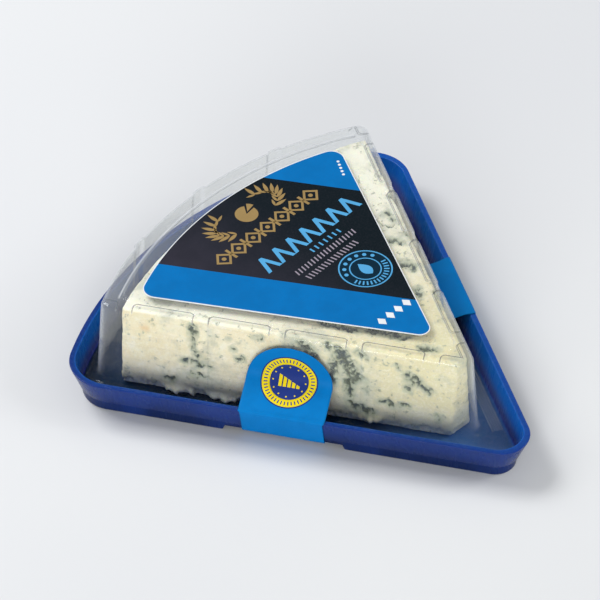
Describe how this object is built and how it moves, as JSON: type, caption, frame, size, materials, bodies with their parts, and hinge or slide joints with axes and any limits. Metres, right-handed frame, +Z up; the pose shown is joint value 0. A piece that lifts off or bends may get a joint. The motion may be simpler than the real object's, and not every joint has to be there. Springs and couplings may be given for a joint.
{
  "type": "packed blue cheese wedge",
  "caption": "Wedge of blue cheese in a blue plastic tray under a clear press-fit lid, with a paper label and a paper seal band",
  "frame": {"origin": "middle of the pack's plan at the plane it stands on", "axes": "+Z up from the feet, +Y from the narrow tip of the wedge towards the rind, +X across the wedge"},
  "size_m": [0.1116, 0.1148, 0.0273],
  "materials": {
    "tray_plastic": "glossy translucent blue, thermoformed",
    "cheese": "moist matt paste with blue-green veins",
    "clear_plastic": "clear glossy film, thermoformed",
    "label_paper": "printed coated paper, satin",
    "band_paper": "printed coated paper, satin"
  },
  "bodies": {
    "root": {"tray": "tray_plastic", "cheese_wedge": "cheese", "lid": "clear_plastic", "top_label": "label_paper", "seal_band": "band_paper"}
  },
  "joints": []
}
